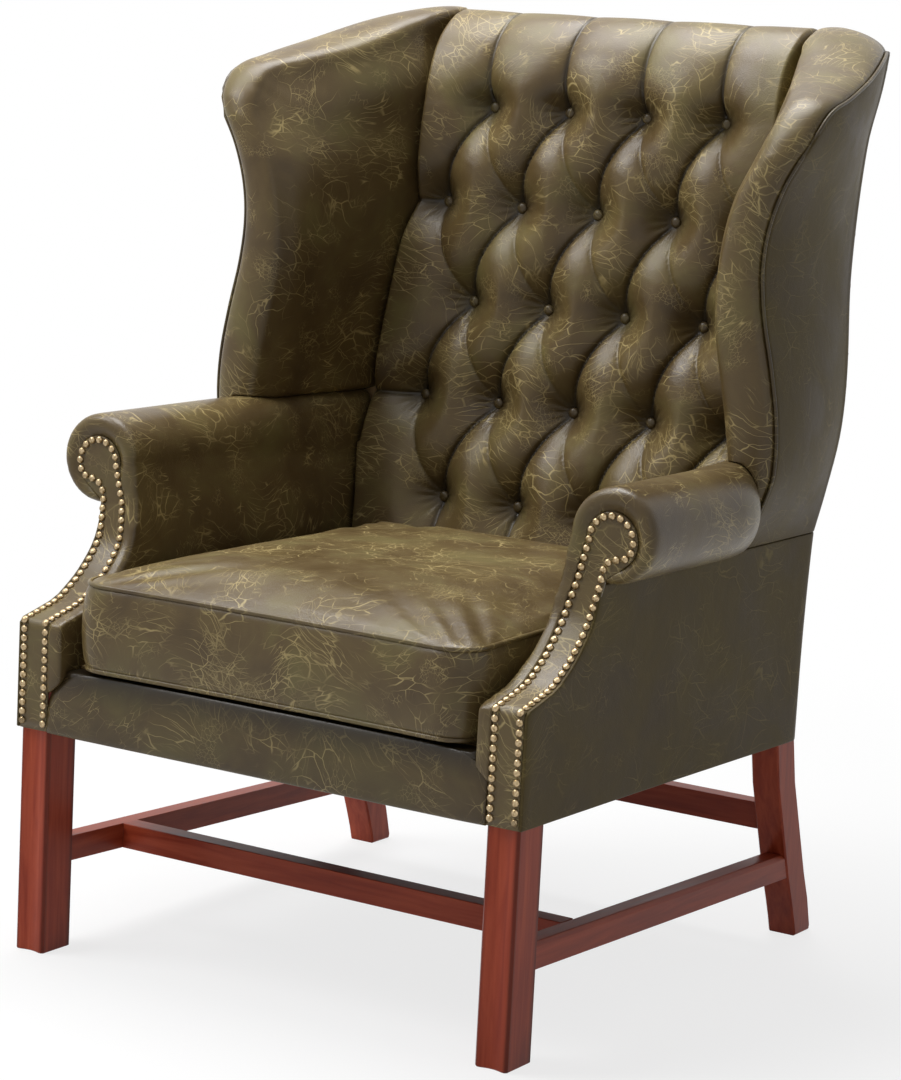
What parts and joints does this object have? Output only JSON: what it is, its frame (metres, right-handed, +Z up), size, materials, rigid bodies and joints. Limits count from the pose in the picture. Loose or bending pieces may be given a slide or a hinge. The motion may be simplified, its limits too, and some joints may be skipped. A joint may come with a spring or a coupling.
{
  "type": "wingback armchair",
  "caption": "Wingback armchair with a button-tufted back, rolled arms edged with brass nail heads, a loose seat cushion and a moulded leg frame with stretchers.",
  "frame": {"origin": "middle of the footprint of the whole chair, on the floor under the feet", "axes": "+Z up from the floor, the chair faces -Y, +X to the sitter's left"},
  "size_m": [0.86, 0.794, 1.145],
  "materials": {
    "inside_leather": "aniline-dyed hide, pulled up and worn, satin wax",
    "outside_leather": "smoother hide on the outside of the body, satin wax",
    "polished_mahogany": "stained and polished, satin",
    "frame_beech": "bare machined timber inside the upholstery",
    "nail_brass": "antiqued domed nail heads",
    "jute_webbing": "woven jute straps and hessian over stuffing",
    "dust_cloth": "thin black cambric"
  },
  "bodies": {
    "frame": {"front_leg_left": "polished_mahogany", "front_leg_right": "polished_mahogany", "rear_leg_left": "polished_mahogany", "rear_leg_right": "polished_mahogany", "side_stretcher_left": "polished_mahogany", "side_stretcher_right": "polished_mahogany", "cross_stretcher": "polished_mahogany", "rear_stretcher": "polished_mahogany", "side_seat_rail_left": "frame_beech", "side_seat_rail_right": "frame_beech", "front_corner_block_left": "frame_beech", "front_corner_block_right": "frame_beech", "rear_corner_block_left": "frame_beech", "rear_corner_block_right": "frame_beech", "arm_stump_left": "frame_beech", "arm_stump_right": "frame_beech", "back_post_left": "frame_beech", "back_post_right": "frame_beech", "wing_board_left": "frame_beech", "wing_board_right": "frame_beech", "arm_rail_left": "frame_beech", "arm_rail_right": "frame_beech", "front_seat_rail": "frame_beech", "rear_seat_rail": "frame_beech", "crest_rail": "frame_beech", "lower_back_rail": "frame_beech", "outside_arm_panel_left": "outside_leather", "outside_arm_panel_right": "outside_leather", "outside_wing_panel_left": "outside_leather", "outside_wing_panel_right": "outside_leather", "outside_back_panel": "outside_leather", "arm_pad_left": "inside_leather", "arm_pad_right": "inside_leather", "wing_pad_left": "inside_leather", "wing_pad_right": "inside_leather", "arm_facing_left": "inside_leather", "arm_facing_right": "inside_leather", "tufted_back_pad": "inside_leather", "front_apron": "inside_leather", "button_row_1": "inside_leather", "button_row_2": "inside_leather", "button_row_3": "inside_leather", "button_row_4": "inside_leather", "button_row_5": "inside_leather", "nail_trim_left": "nail_brass", "nail_trim_right": "nail_brass", "back_webbing": "jute_webbing", "seat_webbing": "jute_webbing", "seat_deck": "jute_webbing", "dust_cover": "dust_cloth"},
    "cushion": {"seat_cushion": "inside_leather"}
  },
  "joints": [
    {"name": "cushion_lift", "type": "slide", "parent": "frame", "child": "cushion", "axis": [0, 0, 1], "range_m": [0, 0.85]}
  ]
}
